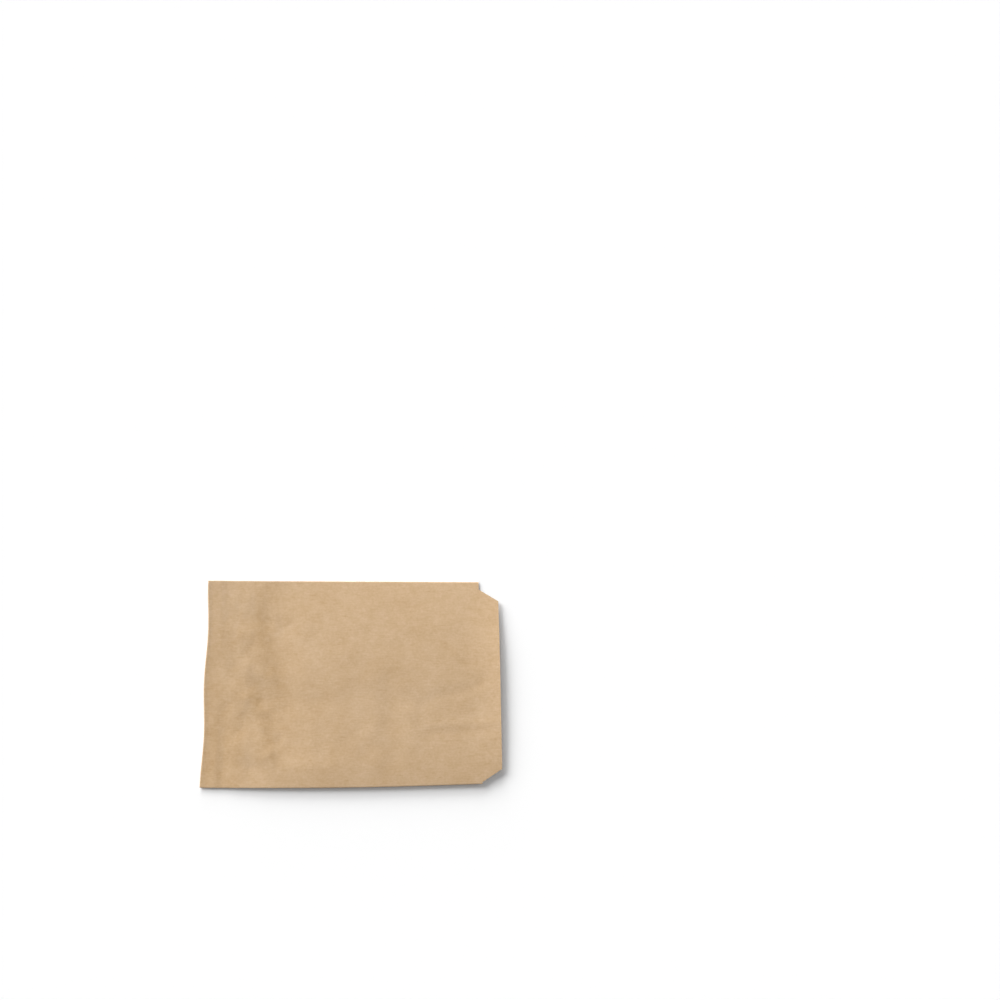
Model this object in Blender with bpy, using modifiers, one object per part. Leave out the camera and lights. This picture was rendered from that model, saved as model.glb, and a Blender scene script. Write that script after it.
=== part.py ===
"""Flat brown kraft paper lunch bag, folded and pasted from one sheet.

The sheet is wrapped into a flat tube with a lapped seam down its back. At the bottom
the tube is turned over and its long end is pasted down. At the mouth the facing panel
runs on as a lip with cut corners. The empty bag lies on its seam side.

+X runs from the bottom fold to the mouth, +Y from the near side fold to the far one,
+Z up. The origin is on the surface the bag rests on, below the middle of its outline.
Every surface below is the middle of the sheet, which Solidify gives its thickness.
"""
import math
from dataclasses import dataclass

import bmesh
import bpy

# Outline, in metres
BAG_WIDTH = 0.178               # over both side folds
BODY_LENGTH = 0.237             # bottom fold to the under panel's mouth edge
LIP_LENGTH = 0.017              # facing panel past that edge
END_SKEW = 0.0011               # bottom fold's far corner lies this much further in
END_WAVE = 0.0017               # bottom fold pulled in on each side of the seam
EDGE_BOW = 0.0016               # near side fold drawn in at its two ends

# Sheet and paste
PAPER = 0.00012                 # thickness of the kraft sheet
PASTE = 0.00004                 # film of paste between two layers
PITCH = PAPER + PASTE           # one layer to the next
PASTE_BITE = 0.25 * PAPER       # how far the paste soaks into each layer

# Lip at the mouth
LIP_SHOULDER_FAR = 0.0070       # square cut inwards from the far side fold
LIP_SHOULDER_NEAR = 0.0015      # the same at the near side fold
LIP_CORNER = 0.0108             # how far each slanting corner narrows the lip
LIP_CURL = 0.0014               # rise of the lip's free edge
LIP_CURL_RUN = 0.030            # length over which it rises

# Bottom closure
FLAP_LENGTH = 0.032             # facing panel's end, turned under and pasted
FLAP_SHOULDER = 0.0025          # flap set in from each side fold
FLAP_CORNER = 0.0060            # how far the flap narrows towards its free edge
TURN_LENGTH = 0.009             # under panel's short end, caught inside the fold
FOLD_RADIUS = 0.00014           # bend of the innermost layer
FLAP_PASTE_MARGIN = 0.002       # bare strip along the flap's edges
SETTLE_GAP = 0.001              # flat run past an edge, before the next layer drops
SETTLE_RUN = 0.004              # length over which it drops
DRAPE_RUN = 0.032               # length over which the facing panel drops, more softly

# Seam on the under panel
SEAM_LAP = 0.014                # overlap of the sheet's two edges
SEAM_OFFSET = 0.0               # middle of the seam from the bag's centre line
SEAM_PASTE = 0.008              # width of the pasted line
SEAM_PASTE_MARGIN = 0.006       # seam left unpasted at each end
JOGGLE_GAP = 0.0004             # flat run of the inner edge past the outer one
JOGGLE_RUN = 0.0016             # length over which the inner edge steps up

# Soft form of the empty bag
SIDE_FOLD_RADIUS = 0.00045      # side folds where the bag is not pressed flat
PILLOW_HEIGHT = 0.0023          # air between the panels at the middle
PILLOW_RUN = 0.095              # length over which the bag fills from the bottom
PILLOW_POWER = 2.4              # fullness of the curve across the bag
EDGE_POWER = 8                  # how close to the side folds the creases run
CREASED_LENGTH = 0.080          # crumpled stretch above the bottom fold
NEAR_LIFT = 0.0025              # how far the near side fold curls up off the floor
NEAR_LIFT_START = 0.030         # from the bottom fold to where it starts to rise
NEAR_LIFT_END = 0.110           # and to where it has risen
NEAR_LIFT_WIDTH = 0.085         # width over which the bag rises towards that fold
NEAR_LIFT_EDGE = 0.019          # strip beside the fold that is lifted evenly

# Spacing of the mesh lines
FINE_STEP = 0.0040
COARSE_STEP = 0.0066
ACROSS_STEP = 0.0066
WING_STEP = 0.022
BEND_SEGMENTS = 4
FOLD_SEGMENTS = 6

KRAFT_COLOUR = (0.591, 0.413, 0.250, 1.0)
KRAFT_ROUGHNESS = 0.85

# Worked out from the sizes above
TOTAL_LENGTH = BODY_LENGTH + LIP_LENGTH
HALF_WIDTH = 0.5 * (BAG_WIDTH - PAPER)
FOLD_ARC = math.pi * FOLD_RADIUS
FOLD_DEPTH = FOLD_RADIUS + 2 * PITCH + 0.5 * PAPER
END_X = -0.5 * TOTAL_LENGTH + FOLD_DEPTH
MOUTH = BODY_LENGTH - FOLD_DEPTH
SEAM_LOW = SEAM_OFFSET - 0.5 * SEAM_LAP
SEAM_HIGH = SEAM_OFFSET + 0.5 * SEAM_LAP


@dataclass(frozen=True)
class Crease:
    """A soft ridge, or a dent where its height is negative, along a bent line.

    Its points are (along, across): along is a share of the body from the bottom fold
    to the mouth, across runs from -1 at the near side fold to 1 at the far one.
    """

    points: tuple
    spread: float
    height: float


CREASES = (
    Crease(((0.176, 0.94), (0.175, 0.77), (0.143, 0.63), (0.163, 0.48), (0.187, 0.33), (0.199, 0.19),
            (0.223, -0.01), (0.25, -0.17)), 0.0078, 0.00056),
    Crease(((0.246, 0.94), (0.244, 0.77), (0.213, 0.63), (0.24, 0.48), (0.263, 0.33), (0.275, 0.19),
            (0.299, -0.01), (0.325, -0.17)), 0.0080, -0.00072),
    Crease(((0.137, -0.07), (0.164, -0.2), (0.187, -0.35), (0.203, -0.49), (0.219, -0.64),
            (0.231, -0.76)), 0.0058, 0.00036),
    Crease(((0.188, -0.07), (0.214, -0.2), (0.237, -0.35), (0.253, -0.49), (0.268, -0.64),
            (0.28, -0.76)), 0.0060, -0.00050),
    Crease(((0.145, -0.43), (0.159, -0.66)), 0.0050, 0.00022),
    Crease(((0.673, 0.12), (0.666, -0.15), (0.676, -0.45), (0.68, -0.76)), 0.0105, -0.00046),
    Crease(((0.568, -0.06), (0.563, -0.54)), 0.0120, 0.00020),
    Crease(((0.723, -0.31), (0.733, -0.31)), 0.0050, 0.00016),
    Crease(((0.776, -0.26), (0.848, -0.17), (0.92, -0.11), (0.993, -0.05), (1.054, 0.0)),
           0.0062, -0.00046),
    Crease(((0.769, -0.29), (0.755, -0.43), (0.761, -0.59)), 0.0065, -0.00020),
    Crease(((0.812, -0.41), (0.919, -0.41), (1.061, -0.4)), 0.0044, 0.00034),
    Crease(((0.713, 0.67), (0.742, 0.76), (0.816, 0.83)), 0.0045, -0.00018),
    Crease(((0.953, 0.61), (0.967, 0.38)), 0.0100, -0.00022),
    Crease(((0.448, -0.3), (0.443, -0.74)), 0.0080, -0.00022),
    Crease(((0.46, 0.72), (0.516, 0.43)), 0.0075, -0.00018),
    Crease(((0.291, -0.34), (0.391, -0.35)), 0.0035, 0.00014),
    Crease(((0.033, -0.54), (0.075, -0.74), (0.055, -0.88)), 0.0060, -0.00030),
    Crease(((0.175, -0.83), (0.204, -0.97)), 0.0060, -0.00026),
    Crease(((0.545, -0.62), (0.591, -0.48)), 0.0070, 0.00020),
)


def smooth_step(value: float, start: float, end: float) -> float:
    """Rise from 0 at start to 1 at end, level at both."""
    share = min(1.0, max(0.0, (value - start) / (end - start)))
    return share * share * (3.0 - 2.0 * share)


def filled(marks: list, step: float) -> list:
    """Add even stops between the marks, so that none lie further apart than step."""
    stops = [marks[0]]
    for low, high in zip(marks, marks[1:]):
        count = max(1, math.ceil((high - low) / step - 1e-6))
        stops += [low + (high - low) * k / count for k in range(1, count + 1)]
    return stops


def falling(marks: list, step: float) -> list:
    """The same stops, from the highest mark to the lowest."""
    return list(reversed(filled(sorted(marks), step)))


def side_radius(along: float) -> float:
    """Bend of a side fold: pressed flat over the flap, softer towards the mouth."""
    softness = smooth_step(along, FLAP_LENGTH, FLAP_LENGTH + CREASED_LENGTH)
    return PITCH + (SIDE_FOLD_RADIUS - PITCH) * softness


def under_height(along: float) -> float:
    """Height of the under panel, which lies on the fold, then the flap, then the floor."""
    folded = 0.5 * PAPER + 2 * PITCH + 2 * FOLD_RADIUS
    on_flap = 0.5 * PAPER + PITCH
    on_floor = 0.5 * PAPER
    past_turn = TURN_LENGTH + SETTLE_GAP
    first_drop = smooth_step(along, past_turn, past_turn + SETTLE_RUN)
    second_drop = smooth_step(along, FLAP_LENGTH + SETTLE_GAP, FLAP_LENGTH + SETTLE_GAP + SETTLE_RUN)
    return folded + (on_flap - folded) * first_drop + (on_floor - on_flap) * second_drop


def near_lift(along: float, y: float) -> float:
    """How far the bag stands off the floor where its near side curls up."""
    start = -HALF_WIDTH + NEAR_LIFT_EDGE
    rise = 1.0 - smooth_step(y, start, start + NEAR_LIFT_WIDTH)
    return NEAR_LIFT * rise * smooth_step(along, NEAR_LIFT_START, NEAR_LIFT_END)


def drape_height(along: float) -> float:
    """How far the facing panel spans over the steps of the layers below it."""
    folded = 2 * PITCH + 2 * FOLD_RADIUS
    start = 0.5 * TURN_LENGTH
    softer = folded * (1.0 - smooth_step(along, start, start + DRAPE_RUN))
    return max(0.0, softer - under_height(max(0.0, along)) + 0.5 * PAPER)


def distance_to_line(along: float, y: float, points: tuple) -> float:
    """Distance of a point of the facing panel from a crease's line."""
    nearest = math.inf
    for first, second in zip(points, points[1:]):
        x0, y0 = first[0] * BODY_LENGTH, first[1] * HALF_WIDTH
        run_x, run_y = second[0] * BODY_LENGTH - x0, second[1] * HALF_WIDTH - y0
        share = ((along - x0) * run_x + (y - y0) * run_y) / (run_x ** 2 + run_y ** 2)
        share = min(1.0, max(0.0, share))
        nearest = min(nearest, math.hypot(along - x0 - share * run_x, y - y0 - share * run_y))
    return nearest


def crease_height(crease: Crease, along: float, y: float) -> float:
    """Height that one crease adds at a point of the facing panel."""
    return crease.height * math.exp(-(distance_to_line(along, y, crease.points) / crease.spread) ** 2)


def facing_height(along: float, y: float) -> float:
    """Height of the facing panel over the under panel."""
    across = min(1.0, abs(y) / (HALF_WIDTH - side_radius(along)))
    level = 1.0 - across ** PILLOW_POWER
    pillow = PILLOW_HEIGHT * smooth_step(along, 0.0, PILLOW_RUN)
    creases = sum(crease_height(crease, along, y) for crease in CREASES)
    creases *= (1.0 - across ** EDGE_POWER) * smooth_step(along, 0.0, FLAP_LENGTH)
    curl_share = min(1.0, max(0.0, 1.0 - (MOUTH + LIP_LENGTH - along) / LIP_CURL_RUN))
    raised = pillow + LIP_CURL * curl_share ** 2 + drape_height(along)
    return 2 * side_radius(along) + max(0.0, raised * level + creases)


def folded_point(along: float, y: float, height: float) -> tuple:
    """Place a point of the tube: past the bottom fold, along is negative.

    height is measured from the under panel towards the facing panel.
    """
    across = y / HALF_WIDTH
    shift = 0.5 * END_SKEW * (1.0 + across) + END_WAVE * math.sin(math.pi * across) ** 2
    shift *= 1.0 - max(0.0, min(1.0, along / MOUTH))
    bow = EDGE_BOW * (1.0 - math.sin(math.pi * max(0.0, min(1.0, along / MOUTH))))
    placed_y = y + bow * 0.5 * (1.0 - across)
    centre_z = under_height(0.0) - FOLD_RADIUS
    if along >= 0.0:
        return (END_X + shift + along, placed_y, under_height(along) + near_lift(along, y) + height)
    if along >= -FOLD_ARC:
        angle = -along / FOLD_RADIUS
        reach = FOLD_RADIUS + height
        x = END_X + shift - reach * math.sin(angle)
        return (x, placed_y, centre_z + reach * math.cos(angle))
    x = END_X + shift - FOLD_ARC - along
    return (x, placed_y, centre_z - FOLD_RADIUS - height)


def row_stops() -> list:
    """Stops along the tube, from its turned end to the mouth."""
    past_turn = TURN_LENGTH + SETTLE_GAP
    past_flap = FLAP_LENGTH + SETTLE_GAP
    drops = [0.0, TURN_LENGTH, past_turn, past_turn + SETTLE_RUN, FLAP_LENGTH]
    drops += [past_flap, past_flap + SETTLE_RUN, CREASED_LENGTH]
    turned = [-FOLD_ARC - TURN_LENGTH, -FOLD_ARC]
    bend = [-FOLD_ARC * (1.0 - k / FOLD_SEGMENTS) for k in range(1, FOLD_SEGMENTS)]
    crumpled = filled(sorted(drops), FINE_STEP)
    smooth = filled([CREASED_LENGTH, MOUTH], COARSE_STEP)
    return turned + bend + crumpled + smooth[1:]


def facing_stops() -> list:
    """Stops across the facing panel, in metres at the mouth, at every cut corner too."""
    edge = HALF_WIDTH - SIDE_FOLD_RADIUS
    cuts = [-HALF_WIDTH + LIP_SHOULDER_NEAR, HALF_WIDTH - LIP_SHOULDER_FAR]
    cuts += [-HALF_WIDTH + FLAP_SHOULDER, HALF_WIDTH - FLAP_SHOULDER]
    return filled(sorted([-edge, edge] + cuts), ACROSS_STEP)


def seam_stops() -> list:
    """Stops across the lapped seam, paste line included, which both its layers share."""
    return [SEAM_LOW, SEAM_OFFSET - 0.5 * SEAM_PASTE, SEAM_OFFSET + 0.5 * SEAM_PASTE, SEAM_HIGH]


def tube_section(along: float) -> list:
    """Section of the tube as (y, height), from the inner seam edge to the outer one."""
    radius = side_radius(along)
    edge = HALF_WIDTH - radius
    widest = HALF_WIDTH - SIDE_FOLD_RADIUS
    step_top = SEAM_LOW - JOGGLE_GAP
    step_foot = step_top - JOGGLE_RUN
    angles = [math.pi * k / BEND_SEGMENTS for k in range(1, BEND_SEGMENTS)]

    section = [(y, PITCH) for y in falling(seam_stops() + [step_top], WING_STEP)]
    section += [(0.5 * (step_top + step_foot), 0.5 * PITCH)]
    section += [(y, 0.0) for y in falling([step_foot, -edge], WING_STEP)]
    section += [(-edge - radius * math.sin(a), radius - radius * math.cos(a)) for a in angles]
    for stop in facing_stops():
        y = stop * edge / widest
        section.append((y, facing_height(along, y)))
    section += [(edge + radius * math.sin(a), radius - radius * math.cos(a)) for a in reversed(angles)]
    section += [(y, 0.0) for y in falling(seam_stops() + [edge], WING_STEP)]
    return section


def tongue_row(along: float, narrowing: float, low: float, high: float) -> list:
    """Points of one row of the lip or the flap, narrowed evenly from both its sides."""
    stops = [stop for stop in facing_stops() if low - 1e-7 <= stop <= high + 1e-7]
    row = []
    for stop in stops:
        share = (stop - low) / (high - low)
        y = low + narrowing + share * (high - low - 2 * narrowing)
        height = facing_height(along, y) if along > 0.0 else 2 * PITCH
        row.append(folded_point(along, y, height))
    return row


def lip_rows() -> list:
    """Rows of the lip past the mouth, up to its free edge."""
    low = -HALF_WIDTH + LIP_SHOULDER_NEAR
    high = HALF_WIDTH - LIP_SHOULDER_FAR
    rows = []
    for past in filled([0.0, LIP_LENGTH], FINE_STEP)[1:]:
        rows.append(tongue_row(MOUTH + past, LIP_CORNER * past / LIP_LENGTH, low, high))
    return rows


def flap_rows() -> list:
    """Rows of the pasted flap past the under panel's turned end."""
    low = -HALF_WIDTH + FLAP_SHOULDER
    high = HALF_WIDTH - FLAP_SHOULDER
    free_length = FLAP_LENGTH - TURN_LENGTH
    rows = []
    for past in filled([0.0, free_length], 0.5 * free_length)[1:]:
        narrowing = FLAP_CORNER * past / free_length
        rows.append(tongue_row(-FOLD_ARC - TURN_LENGTH - past, narrowing, low, high))
    return rows


def add_strip(mesh: bmesh.types.BMesh, first: list, second: list) -> None:
    """Join two rows of vertices of equal length with faces."""
    for k in range(len(first) - 1):
        mesh.faces.new((first[k], first[k + 1], second[k + 1], second[k]))


def add_tongue(mesh: bmesh.types.BMesh, base: list, rows: list) -> None:
    """Grow a tongue of faces from a row of vertices that is already there."""
    previous = base
    for row in rows:
        current = [mesh.verts.new(point) for point in row]
        add_strip(mesh, previous, current)
        previous = current


def base_of_tongue(row: list, low: float, high: float) -> list:
    """Vertices of a tube row that lie on the facing panel between two cut corners."""
    stops = facing_stops()
    first = tube_facing_start()
    picked = [k for k, stop in enumerate(stops) if low - 1e-7 <= stop <= high + 1e-7]
    return [row[first + k] for k in picked]


def tube_facing_start() -> int:
    """Place of the facing panel's first stop in the list of a tube section."""
    after = BEND_SEGMENTS - 1 + len(filled(seam_stops() + [HALF_WIDTH], WING_STEP))
    return len(tube_section(MOUTH)) - after - len(facing_stops())


def link_mesh(name: str, mesh: bmesh.types.BMesh, collection: bpy.types.Collection) -> bpy.types.Object:
    """Turn a bmesh into a linked object with its faces turned the same way."""
    bmesh.ops.recalc_face_normals(mesh, faces=mesh.faces)
    data = bpy.data.meshes.new(name)
    mesh.to_mesh(data)
    mesh.free()
    made = bpy.data.objects.new(name, data)
    collection.objects.link(made)
    return made


def thicken(target: bpy.types.Object, thickness: float) -> None:
    """Give an open surface its thickness, half to each side."""
    shell = target.modifiers.new("thickness", "SOLIDIFY")
    shell.thickness = thickness
    shell.offset = 0.0
    shell.use_even_offset = True
    shell.use_quality_normals = True


def build_sheet(collection: bpy.types.Collection) -> bpy.types.Object:
    """Fold the whole sheet: the tube, the lip at its mouth and the flap at its bottom."""
    mesh = bmesh.new()
    tube = []
    for along in row_stops():
        points = [folded_point(along, y, height) for y, height in tube_section(along)]
        tube.append([mesh.verts.new(point) for point in points])
    for first, second in zip(tube, tube[1:]):
        add_strip(mesh, first, second)
    lip_base = base_of_tongue(tube[-1], -HALF_WIDTH + LIP_SHOULDER_NEAR, HALF_WIDTH - LIP_SHOULDER_FAR)
    add_tongue(mesh, lip_base, lip_rows())
    flap_base = base_of_tongue(tube[0], -HALF_WIDTH + FLAP_SHOULDER, HALF_WIDTH - FLAP_SHOULDER)
    add_tongue(mesh, flap_base, flap_rows())
    sheet = link_mesh("paper_bag", mesh, collection)
    thicken(sheet, PAPER)
    return sheet


def build_paste(name: str, stops: list, low: float, high: float, height: float,
                collection: bpy.types.Collection) -> bpy.types.Object:
    """Film of paste between two layers, reaching a little way into both."""
    mesh = bmesh.new()
    rows = []
    for along in stops:
        ends = [folded_point(along, y, height) for y in (low, high)]
        rows.append([mesh.verts.new(point) for point in ends])
    for first, second in zip(rows, rows[1:]):
        add_strip(mesh, first, second)
    film = link_mesh(name, mesh, collection)
    thicken(film, PASTE + 2 * PASTE_BITE)
    film.hide_render = True
    film.display_type = "WIRE"
    return film


def build_seam_paste(collection: bpy.types.Collection) -> bpy.types.Object:
    """Pasted line along the seam, between the sheet's two lapped edges."""
    low = SEAM_OFFSET - 0.5 * SEAM_PASTE
    high = SEAM_OFFSET + 0.5 * SEAM_PASTE
    ends = [SEAM_PASTE_MARGIN, MOUTH - SEAM_PASTE_MARGIN]
    inner = [stop for stop in row_stops() if ends[0] < stop < ends[1]]
    return build_paste("seam_paste", ends[:1] + inner + ends[1:], low, high, 0.5 * PITCH, collection)


def build_flap_paste(collection: bpy.types.Collection) -> bpy.types.Object:
    """Pasted area between the flap and the under panel that lies on it."""
    reach = HALF_WIDTH - FLAP_SHOULDER - FLAP_CORNER - FLAP_PASTE_MARGIN
    start = TURN_LENGTH + SETTLE_GAP + SETTLE_RUN + FLAP_PASTE_MARGIN
    end = FLAP_LENGTH - FLAP_PASTE_MARGIN
    return build_paste("flap_paste", [start, end], -reach, reach, -0.5 * PITCH, collection)


def join_paste(sheet: bpy.types.Object, film: bpy.types.Object) -> None:
    """Make one solid of the sheet and a film of paste."""
    union = sheet.modifiers.new(film.name, "BOOLEAN")
    union.operation = "UNION"
    union.solver = "EXACT"
    union.object = film


def kraft_paper() -> bpy.types.Material:
    """Unbleached brown kraft paper, matt."""
    material = bpy.data.materials.new("kraft_paper")
    material.use_nodes = True
    shader = material.node_tree.nodes["Principled BSDF"]
    shader.inputs["Base Color"].default_value = KRAFT_COLOUR
    shader.inputs["Roughness"].default_value = KRAFT_ROUGHNESS
    shader.inputs["Metallic"].default_value = 0.0
    return material


def new_collection(name: str) -> bpy.types.Collection:
    """Add a collection to the scene."""
    collection = bpy.data.collections.new(name)
    bpy.context.scene.collection.children.link(collection)
    return collection


def main() -> None:
    """Clear the scene and build the bag."""
    for old in list(bpy.data.objects):
        bpy.data.objects.remove(old, do_unlink=True)
    parts = new_collection("paper_lunch_bag")
    tools = new_collection("paste_films")
    bag = build_sheet(parts)
    bag.data.materials.append(kraft_paper())
    join_paste(bag, build_seam_paste(tools))
    join_paste(bag, build_flap_paste(tools))


main()
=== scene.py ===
"""Looks of the flat brown kraft paper lunch bag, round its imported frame.

The bag is folded again here from the same sheet, finely enough for its soft creases, its
crumpled end and the cockle of the paper to be real shapes. It lies on its seam side:
+X runs from the bottom fold to the mouth, +Y from the near side fold to the far one.
"""

import logging
import math
import random
from dataclasses import dataclass, field
from enum import Enum

import bmesh
import bpy
import numpy as np
from mathutils import Matrix, Vector

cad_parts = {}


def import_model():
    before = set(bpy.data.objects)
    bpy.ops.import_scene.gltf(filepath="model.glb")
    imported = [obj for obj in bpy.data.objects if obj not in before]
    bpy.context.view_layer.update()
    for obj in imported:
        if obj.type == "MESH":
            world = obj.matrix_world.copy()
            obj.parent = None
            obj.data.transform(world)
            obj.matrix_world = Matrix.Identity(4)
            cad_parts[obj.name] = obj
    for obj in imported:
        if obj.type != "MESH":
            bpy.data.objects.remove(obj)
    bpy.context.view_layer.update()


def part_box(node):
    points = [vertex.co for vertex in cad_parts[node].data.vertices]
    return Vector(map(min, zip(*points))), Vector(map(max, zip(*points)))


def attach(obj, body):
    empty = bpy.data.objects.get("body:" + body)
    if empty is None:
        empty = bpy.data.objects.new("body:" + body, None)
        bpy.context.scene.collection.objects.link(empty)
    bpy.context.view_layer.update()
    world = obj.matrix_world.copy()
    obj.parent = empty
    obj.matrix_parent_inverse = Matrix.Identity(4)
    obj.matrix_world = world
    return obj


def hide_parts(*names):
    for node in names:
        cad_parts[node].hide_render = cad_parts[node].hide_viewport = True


logging.basicConfig(level=logging.INFO, format="%(levelname)s %(message)s")
LOG = logging.getLogger("paper_bag")

BODY = "root"
BAG_NODE = "paper_bag"

# Slack for rounding: in a count of stops, and in metres where a stop is matched to a corner.
COUNT_SLACK = 1e-6
CORNER_SLACK = 1e-7

# Point attributes of the sheet, which the material and the cockle read.
# Among them are a painted highlight along the folds and painted shade on the slopes of the steps.
POINT_LAYERS = ("free", "wear_and_highlight", "pasted", "step_shade")

# Share of its spread over which a pinched crease's tip is rounded off.
TIP_ROUNDING = 0.2

# Middle of the values that a noise texture gives.
NOISE_MIDDLE = 0.5

# Sockets of a colour Mix node, which share their names with those of its other kinds.
MIX_FACTOR, MIX_FIRST, MIX_SECOND, MIX_RESULT = 0, 6, 7, 2

# The along, y and height arrays of one row of points, and a tongue's corners with its rows.
Row = tuple[np.ndarray, np.ndarray, np.ndarray]
Tongue = tuple[float, float, list[Row]]

# A vertex of the sheet, with its (along, y).
PlacedVert = tuple[bmesh.types.BMVert, tuple[float, float]]


class CreaseForm(Enum):
    """Cross-section of a crease: rounded like a dent, or pinched like a fold."""

    SOFT = "soft"
    PINCHED = "pinched"


@dataclass(frozen=True)
class Crease:
    """A ridge, or a dent where its height is negative, along a bent line.

    Its points are (along, across). Along is a share of the body: 0 at the bottom fold,
    1 at the mouth and more on the lip. Across runs from -1 at the near side fold to 1
    at the far one.
    """

    points: tuple[tuple[float, float], ...]
    spread: float
    height: float
    form: CreaseForm = CreaseForm.SOFT

    def profile(self, distance: np.ndarray) -> np.ndarray:
        """Share of the height that is left at a distance from the line.

        Args:
            distance: metres from the crease's line.

        Returns:
            Shares from 0 to 1, of the same shape as distance.
        """
        if self.form is CreaseForm.SOFT:
            return np.exp(-(distance / self.spread) ** 2)
        return np.exp(TIP_ROUNDING - np.hypot(distance / self.spread, TIP_ROUNDING))

    def distance(self, along: np.ndarray, y: np.ndarray, length: float,
                 half_width: float) -> np.ndarray:
        """Distance of points of the panel from the crease's line.

        Args:
            along: places along the bag.
            y: places across it, of the same shape.
            length: length that a share of 1 stands for.
            half_width: width that 1 across stands for.

        Returns:
            Metres, of the same shape as along.
        """
        nearest = np.full_like(along, np.inf)
        for first, second in zip(self.points, self.points[1:]):
            start_x, start_y = first[0] * length, first[1] * half_width
            run_x, run_y = second[0] * length - start_x, second[1] * half_width - start_y
            past_x, past_y = along - start_x, y - start_y
            share = np.clip((past_x * run_x + past_y * run_y) / (run_x ** 2 + run_y ** 2), 0.0, 1.0)
            nearest = np.minimum(nearest, np.hypot(past_x - share * run_x, past_y - share * run_y))
        return nearest


@dataclass(frozen=True)
class PressedStep:
    """A soft step down towards the mouth, where the panel leaves the pasted end.

    Its points are (along, across, height) in falling order of across: along and across
    as in a crease, and height is how far the panel steps down there.
    """

    points: tuple[tuple[float, float, float], ...]
    spread: float = 0.0075
    fade: float = 0.028
    full_height: float = 0.002

    def shape(self, along: np.ndarray, y: np.ndarray, length: float,
              half_width: float) -> tuple[np.ndarray, np.ndarray]:
        """What the step does to the panel.

        Args:
            along: places along the bag.
            y: places across it, of the same shape.
            length: length that a share of 1 stands for.
            half_width: width that 1 across stands for.

        Returns:
            Its relief in metres, above 0 before the step and below 0 past it, and how far the paper is
            bent on the slope, as a share of the full height, which the material paints as shade.
        """
        alongs, acrosses, heights = np.array(self.points[::-1]).T
        offset = along - np.interp(y / half_width, acrosses, alongs) * length
        height = np.interp(y / half_width, acrosses, heights)
        turn = np.tanh(offset / self.spread)
        relief = -0.5 * height * turn * np.exp(-np.abs(offset) / self.fade)
        return relief, height / self.full_height * (1.0 - turn ** 2)


PRESSED_STEPS = (
    PressedStep(((0.212, 0.99, 0.00200), (0.209, 0.84, 0.00180), (0.197, 0.7, 0.00130),
                 (0.189, 0.61, 0.00160), (0.197, 0.5, 0.00210), (0.21, 0.38, 0.00230),
                 (0.226, 0.26, 0.00210), (0.238, 0.14, 0.00170), (0.253, -0.01, 0.00125),
                 (0.27, -0.15, 0.00065), (0.285, -0.27, 0.0)), spread=0.0115, fade=0.021),
    PressedStep(((0.143, 0.06, 0.0), (0.166, -0.06, 0.00130), (0.185, -0.15, 0.00210),
                 (0.201, -0.27, 0.00195), (0.209, -0.37, 0.00145), (0.220, -0.47, 0.00150),
                 (0.236, -0.59, 0.00190), (0.251, -0.7, 0.00150), (0.263, -0.82, 0.0)),
                spread=0.0105, fade=0.034),
)

LARGE_CREASES = (
    Crease(((0.601, 0.0), (0.608, -0.2), (0.605, -0.45), (0.62, -0.76)), 0.0075, 0.00014),
    Crease(((0.655, 0.0), (0.662, -0.2), (0.662, -0.45), (0.673, -0.76)), 0.0080, -0.00018),
    Crease(((0.346, 0.84), (0.342, 0.43), (0.356, -0.06)), 0.0120, 0.00018),
    Crease(((0.723, -0.3), (0.733, -0.32)), 0.0045, 0.00014),
    Crease(((0.78, -0.26), (0.827, -0.15), (0.892, -0.12), (0.956, -0.09), (1.007, -0.02)),
           0.0048, -0.00013),
    Crease(((0.744, -0.31), (0.74, -0.45), (0.754, -0.59)), 0.0060, 0.00014),
    Crease(((0.79, -0.42), (0.919, -0.42), (1.062, -0.41)), 0.0034, 0.00009),
    Crease(((0.811, -0.5), (0.918, -0.5), (1.057, -0.49)), 0.0034, -0.00007),
    Crease(((0.713, 0.67), (0.742, 0.76), (0.816, 0.83)), 0.0045, -0.00008),
    Crease(((0.932, 0.64), (0.945, 0.38)), 0.0100, -0.00012),
    Crease(((0.582, 0.48), (0.654, 0.52)), 0.0050, -0.00006),
    Crease(((0.461, 0.7), (0.509, 0.45)), 0.0075, -0.00010),
    Crease(((0.291, -0.34), (0.391, -0.35)), 0.0035, 0.00007),
    Crease(((0.377, -0.49), (0.386, -0.76)), 0.0060, 0.00010),
    Crease(((0.417, -0.49), (0.425, -0.74)), 0.0060, -0.00010),
    Crease(((0.545, -0.62), (0.591, -0.48)), 0.0070, 0.00012),
    Crease(((0.05, -0.3), (0.053, -0.6), (0.058, -0.9)), 0.0080, -0.00060),
    Crease(((0.126, 0.42), (0.155, 0.1)), 0.0080, 0.00016),
    Crease(((0.075, -0.78), (0.056, -0.9)), 0.0060, -0.00010),
    Crease(((0.175, -0.83), (0.204, -0.97)), 0.0060, -0.00036),
)


def smooth_step(value: np.ndarray, start: float, end: float) -> np.ndarray:
    """Rise from 0 at start to 1 at end, level at both.

    Args:
        value: where to read the rise.
        start: value at which it is still 0.
        end: value from which it is 1.

    Returns:
        Shares from 0 to 1, of the same shape as value.
    """
    share = np.clip((np.asarray(value, dtype=float) - start) / (end - start), 0.0, 1.0)
    return share * share * (3.0 - 2.0 * share)


def filled(marks: list[float], step: float) -> list[float]:
    """Add even stops between marks.

    Args:
        marks: places that the result has to contain, in rising order.
        step: widest distance between two stops.

    Returns:
        The marks and the stops between them.
    """
    stops = [marks[0]]
    for low, high in zip(marks, marks[1:]):
        count = max(1, math.ceil((high - low) / step - COUNT_SLACK))
        stops += [low + (high - low) * k / count for k in range(1, count + 1)]
    return stops


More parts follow.
